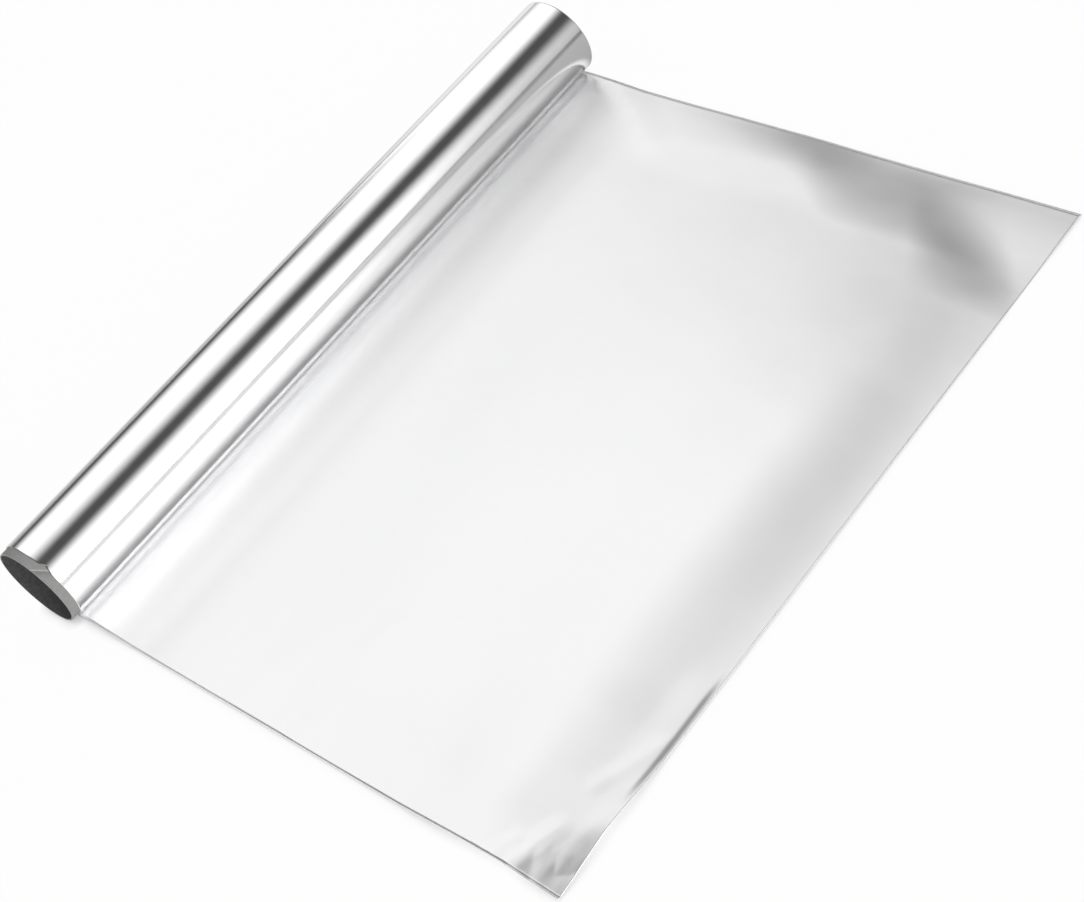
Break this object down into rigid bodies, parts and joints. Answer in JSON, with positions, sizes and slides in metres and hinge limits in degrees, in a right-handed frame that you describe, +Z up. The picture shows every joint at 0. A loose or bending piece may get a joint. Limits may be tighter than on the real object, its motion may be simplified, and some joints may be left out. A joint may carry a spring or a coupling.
{
  "type": "aluminium foil roll",
  "caption": "Household roll of aluminium foil wound on a paperboard core, with one leaf pulled out flat from beneath the roll.",
  "frame": {"origin": "on the flat rest face under the roll, straight below the tube's axis, halfway along the foil's width", "axes": "+Y along the tube, from the end where it stands out of the foil to the other; +X out along the leaf; +Z up from the table"},
  "size_m": [0.2512, 0.3035, 0.0344],
  "materials": {
    "paperboard": "matte grey paperboard, spiral plies",
    "foil": "bright rolled outside, satin inside"
  },
  "bodies": {
    "root": {"core_tube": "paperboard", "foil": "foil"}
  },
  "joints": []
}
